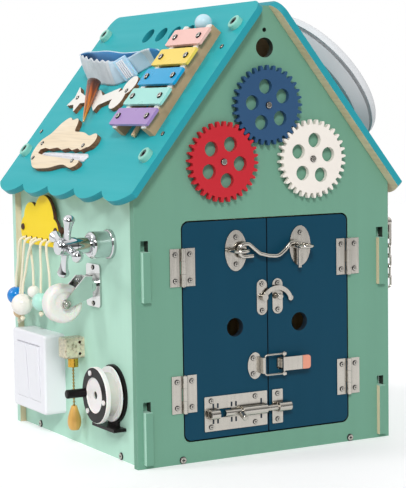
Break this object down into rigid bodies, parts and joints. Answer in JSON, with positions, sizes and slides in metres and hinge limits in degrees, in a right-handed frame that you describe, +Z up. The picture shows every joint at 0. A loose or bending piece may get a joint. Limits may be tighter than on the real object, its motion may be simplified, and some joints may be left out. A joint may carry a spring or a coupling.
{
  "type": "busy house activity toy",
  "caption": "Wooden activity house with gears, double doors held by latches, tap, caster, switches, reel, beads, xylophone and push lamp.",
  "frame": {"origin": "centre of the footprint on the floor", "axes": "+Z up, -Y out of the front face with the doors, +X to the right seen from the front"},
  "size_m": [0.368, 0.3338, 0.4565],
  "materials": {
    "mint_paint": "satin painted board, raw wood inside",
    "teal_paint": "satin painted board",
    "navy_paint": "satin painted board",
    "blue_paint": "matt painted wood",
    "red_paint": "matt painted wood",
    "white_paint": "matt painted wood",
    "yellow_paint": "matt painted wood with burnt edges",
    "raw_wood": "sanded raw wood",
    "cut_wood": "raw plywood with burnt edges",
    "bead_wood": "lacquered wooden beads in several colours",
    "knob_wood": "lacquered wood",
    "mint_plastic": "matt",
    "steel": "satin nickel",
    "zinc": "bright zinc",
    "chrome": "polished",
    "white_plastic": "glossy",
    "nylon": "translucent white nylon",
    "beige_plastic": "mottled glossy",
    "black_plastic": "satin black",
    "bar_paint": "gloss enamel, one colour a bar",
    "cotton": "twisted cotton cord",
    "tape": "woven zip tape",
    "webbing": "satin webbing",
    "blue_plastic": "glossy",
    "leather": "glossy brown",
    "grey_plastic": "satin"
  },
  "bodies": {
    "house": {"front_panel": "mint_paint", "back_panel": "mint_paint", "left_wall": "mint_paint", "right_wall": "mint_paint", "base_panel": "raw_wood", "left_roof": "teal_paint", "right_roof": "teal_paint", "roof_caps": "mint_plastic", "house_screws": "zinc", "frame_hinge_leaves": "steel", "tap_base": "chrome", "caster_plate": "zinc", "switch_box": "white_plastic", "pull_switch": "beige_plastic", "reel_frame": "black_plastic", "cloud": "yellow_paint", "xylophone_rails": "raw_wood", "xylophone_bars": "bar_paint", "crocodile": "cut_wood", "zip_tape": "tape", "bone_cutout": "white_paint", "brown_cone": "leather", "fabric_loop": "webbing", "loop_clasp": "blue_plastic", "lamp_base": "grey_plastic", "chain_track": "steel"},
    "left_door": {"left_door": "navy_paint", "left_hinge_leaves": "steel", "left_eye": "steel", "swing_plate": "steel", "toggle_strike": "steel", "bolt_housing": "steel", "left_door_screws": "zinc"},
    "right_door": {"right_door": "navy_paint", "right_hinge_leaves": "steel", "right_eye": "steel", "swing_keeper": "steel", "toggle_base": "steel", "bolt_strike": "steel", "right_door_screws": "zinc"},
    "cabin_hook": {"cabin_hook": "steel"},
    "swing_lever": {"swing_lever": "steel"},
    "toggle_lever": {"toggle_lever": "steel"},
    "toggle_bail": {"toggle_bail": "steel"},
    "bolt_rod": {"bolt_rod": "steel"},
    "blue_gear": {"blue_gear": "blue_paint"},
    "red_gear": {"red_gear": "red_paint"},
    "white_gear": {"white_gear": "white_paint"},
    "tap_handle": {"tap_handle": "chrome"},
    "caster_fork": {"caster_fork": "zinc"},
    "caster_wheel": {"caster_wheel": "nylon"},
    "rocker_front": {"rocker_front": "white_plastic"},
    "rocker_rear": {"rocker_rear": "white_plastic"},
    "pull_cord": {"pull_cord": "knob_wood"},
    "reel_spool": {"reel_spool": "black_plastic"},
    "mallet": {"mallet": "raw_wood"},
    "lamp_dome": {"lamp_dome": "grey_plastic"},
    "bead_fringe": {"bead_strings": "cotton", "beads": "bead_wood"},
    "chain_slider": {"chain_slider": "steel"}
  },
  "joints": [
    {"name": "left_door_hinge", "type": "hinge", "parent": "house", "child": "left_door", "pos_m": [-0.09775, -0.1527, 0.131], "axis": [0, 0, -1], "range_deg": [0, 104]},
    {"name": "right_door_hinge", "type": "hinge", "parent": "house", "child": "right_door", "pos_m": [0.09775, -0.1527, 0.131], "axis": [0, 0, 1], "range_deg": [0, 104]},
    {"name": "cabin_hook_lift", "type": "hinge", "parent": "left_door", "child": "cabin_hook", "pos_m": [-0.029, -0.156, 0.209], "axis": [0, -1, 0], "range_deg": [0, 70]},
    {"name": "swing_lever_turn", "type": "hinge", "parent": "left_door", "child": "swing_lever", "pos_m": [-0.00575, -0.1536, 0.16], "axis": [0, -1, 0], "range_deg": [0, 104]},
    {"name": "bolt_slide", "type": "slide", "parent": "left_door", "child": "bolt_rod", "axis": [-1, 0, 0], "range_m": [0, 0.022]},
    {"name": "toggle_lever_swing", "type": "hinge", "parent": "right_door", "child": "toggle_lever", "pos_m": [0.016, -0.1555, 0.091], "axis": [0, 0, -1], "range_deg": [0, 80]},
    {"name": "toggle_bail_swing", "type": "hinge", "parent": "right_door", "child": "toggle_bail", "pos_m": [0.016, -0.1555, 0.091], "axis": [0, 0, 1], "range_deg": [0, 80]},
    {"name": "blue_gear_spin", "type": "hinge", "parent": "house", "child": "blue_gear", "pos_m": [0, -0.1539, 0.353], "axis": [0, -1, 0], "continuous": true},
    {"name": "red_gear_spin", "type": "hinge", "parent": "house", "child": "red_gear", "pos_m": [-0.0525, -0.1539, 0.298], "axis": [0, -1, 0], "continuous": true},
    {"name": "white_gear_spin", "type": "hinge", "parent": "house", "child": "white_gear", "pos_m": [0.0525, -0.1539, 0.298], "axis": [0, -1, 0], "continuous": true},
    {"name": "tap_turn", "type": "hinge", "parent": "house", "child": "tap_handle", "pos_m": [-0.19, -0.0826, 0.2168], "axis": [-1, 0, 0], "continuous": true},
    {"name": "caster_swivel", "type": "hinge", "parent": "house", "child": "caster_fork", "pos_m": [-0.1523, -0.0456, 0.172], "axis": [-1, 0, 0], "range_deg": [-165, 90]},
    {"name": "caster_roll", "type": "hinge", "parent": "caster_fork", "child": "caster_wheel", "pos_m": [-0.18, -0.0456, 0.156], "axis": [0, 1, 0], "continuous": true},
    {"name": "rocker_front_tilt", "type": "hinge", "parent": "house", "child": "rocker_front", "pos_m": [-0.162, 0.0595, 0.069], "axis": [0, 1, 0], "range_deg": [0, 7]},
    {"name": "rocker_rear_tilt", "type": "hinge", "parent": "house", "child": "rocker_rear", "pos_m": [-0.162, 0.0905, 0.069], "axis": [0, 1, 0], "range_deg": [0, 7]},
    {"name": "pull_cord_pull", "type": "slide", "parent": "house", "child": "pull_cord", "axis": [0, 0, -1], "range_m": [0, 0.01], "stiffness_N_per_m": 300},
    {"name": "reel_spin", "type": "hinge", "parent": "house", "child": "reel_spool", "pos_m": [-0.155, -0.087, 0.066], "axis": [-1, 0, 0], "continuous": true},
    {"name": "mallet_slide", "type": "slide", "parent": "house", "child": "mallet", "axis": [0.6247, 0, 0.7809], "range_m": [0, 0.14]},
    {"name": "lamp_push", "type": "slide", "parent": "house", "child": "lamp_dome", "axis": [-0.7809, 0, -0.6247], "range_m": [0, 0.003], "stiffness_N_per_m": 2500, "springref_m": -0.001},
    {"name": "fringe_swing", "type": "hinge", "parent": "house", "child": "bead_fringe", "pos_m": [-0.156, 0.075, 0.212], "axis": [0, 1, 0], "range_deg": [0, 75]},
    {"name": "chain_slide", "type": "slide", "parent": "house", "child": "chain_slider", "axis": [0, 0, 1], "range_m": [0, 0.02]}
  ],
  "couplings": [
    {"joint": "red_gear_spin", "follows": "blue_gear_spin", "ratio": -1},
    {"joint": "white_gear_spin", "follows": "blue_gear_spin", "ratio": -1}
  ]
}
